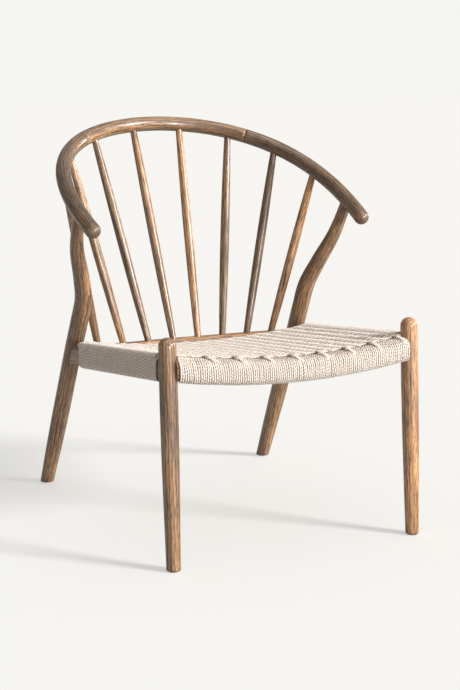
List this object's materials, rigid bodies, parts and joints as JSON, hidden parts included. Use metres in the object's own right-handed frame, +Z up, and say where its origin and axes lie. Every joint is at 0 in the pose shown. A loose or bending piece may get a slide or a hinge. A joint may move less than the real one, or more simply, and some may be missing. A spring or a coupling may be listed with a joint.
{
  "type": "spindle-back armchair",
  "caption": "Low round-arm chair: a bowed arm and crest rod on raked legs, tapered back spindles and a dished seat woven from paper cord.",
  "frame": {"origin": "on the floor under the middle of the chair's bounding box", "axes": "+Z up, the chair faces -Y, +X towards its right side as seen from the front"},
  "size_m": [0.6336, 0.7072, 0.7979],
  "materials": {
    "stained_wood": "satin lacquer over open grain, brown stain",
    "rail_wood": "satin lacquer over open grain, brown stain",
    "paper_cord": "matt twisted paper cord, natural",
    "glide_nylon": "matt moulded nylon"
  },
  "bodies": {
    "root": {"bow_crest": "stained_wood", "bow_arm_left": "stained_wood", "bow_arm_right": "stained_wood", "back_spindle_1": "stained_wood", "back_spindle_2": "stained_wood", "back_spindle_3": "stained_wood", "back_spindle_4": "stained_wood", "back_spindle_5": "stained_wood", "back_spindle_6": "stained_wood", "back_spindle_7": "stained_wood", "back_spindle_8": "stained_wood", "front_leg_left": "stained_wood", "front_leg_right": "stained_wood", "rear_leg_left": "stained_wood", "rear_leg_right": "stained_wood", "spindle_rail": "rail_wood", "front_seat_rail": "rail_wood", "back_seat_rail": "rail_wood", "side_seat_rail_left": "rail_wood", "side_seat_rail_right": "rail_wood", "front_rail_cord_wrap": "paper_cord", "back_rail_cord_wrap": "paper_cord", "side_rail_cord_wrap_left": "paper_cord", "side_rail_cord_wrap_right": "paper_cord", "seat_weave": "paper_cord", "floor_glide_front_left": "glide_nylon", "floor_glide_front_right": "glide_nylon", "floor_glide_rear_left": "glide_nylon", "floor_glide_rear_right": "glide_nylon"}
  },
  "joints": []
}
